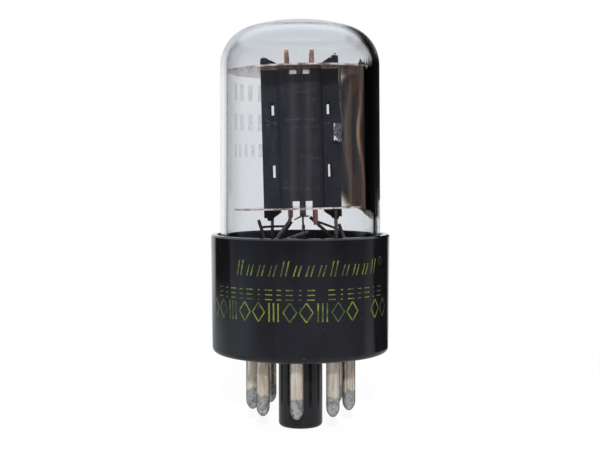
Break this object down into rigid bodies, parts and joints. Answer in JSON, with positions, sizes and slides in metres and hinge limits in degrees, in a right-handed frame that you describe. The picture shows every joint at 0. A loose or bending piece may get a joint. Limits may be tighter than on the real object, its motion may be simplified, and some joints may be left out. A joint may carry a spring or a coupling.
{
  "type": "vacuum tube",
  "caption": "Twin triode vacuum tube with a short clear bulb, black octal base with a keyed locating post, and a leaning electrode cage seen through the glass.",
  "frame": {"origin": "on the tube's axis at the seating plane, the flat underside of the base", "axes": "+Z along the bulb towards its crown, -Y to the front where the pin nearest the front stands, +X to the right, where the getter film is"},
  "size_m": [0.032, 0.032, 0.0729],
  "materials": {
    "phenolic": "moulded, glossy black",
    "pin_metal": "nickel-plated, slightly worn",
    "solder": "dull tinned solder",
    "cement": "matt resin cement",
    "glass": "clear, smooth",
    "getter_film": "dark metallic film",
    "nickel": "drawn nickel wire, oxidised",
    "dark_wire": "dark oxidised wire",
    "mica": "translucent sheet mica",
    "carbonised_plate": "matt carbonised nickel",
    "copper": "drawn copper rod",
    "grid_wire": "fine drawn wire",
    "oxide_coating": "matt white oxide",
    "heater_coating": "matt white alumina",
    "getter_metal": "crumpled bright strip"
  },
  "bodies": {
    "root": {"base_shell": "phenolic", "pin_1": "pin_metal", "pin_2": "pin_metal", "pin_3": "pin_metal", "pin_4": "pin_metal", "pin_5": "pin_metal", "pin_6": "pin_metal", "pin_7": "pin_metal", "pin_8": "pin_metal", "pin_solder": "solder", "basing_cement": "cement", "glass_bulb": "glass", "glass_stem": "glass", "getter_film": "getter_film", "cathode_b_lead": "nickel", "plate_b_lead": "nickel", "heater_lead_left": "nickel", "grid_a_lead": "nickel", "cathode_a_lead": "nickel", "plate_a_lead": "nickel", "grid_b_lead": "nickel", "heater_lead_right": "nickel", "heater_jumper": "dark_wire", "heater_bus": "dark_wire", "grid_b_tie": "nickel", "cathode_a_ribbon": "nickel", "cathode_b_ribbon": "nickel", "mica_top": "mica", "mica_bottom": "mica", "plate_a_front": "carbonised_plate", "plate_a_rear": "carbonised_plate", "plate_b_front": "carbonised_plate", "plate_b_rear": "carbonised_plate", "grid_a_rod_left": "copper", "grid_a_rod_right": "copper", "grid_b_rod_left": "copper", "grid_b_rod_right": "copper", "grid_a_winding": "grid_wire", "grid_b_winding": "grid_wire", "cathode_a_sleeve": "nickel", "cathode_b_sleeve": "nickel", "cathode_a_coating": "oxide_coating", "cathode_b_coating": "oxide_coating", "heater_a": "heater_coating", "heater_b": "heater_coating", "getter_trough": "getter_metal", "getter_support": "nickel"}
  },
  "joints": []
}
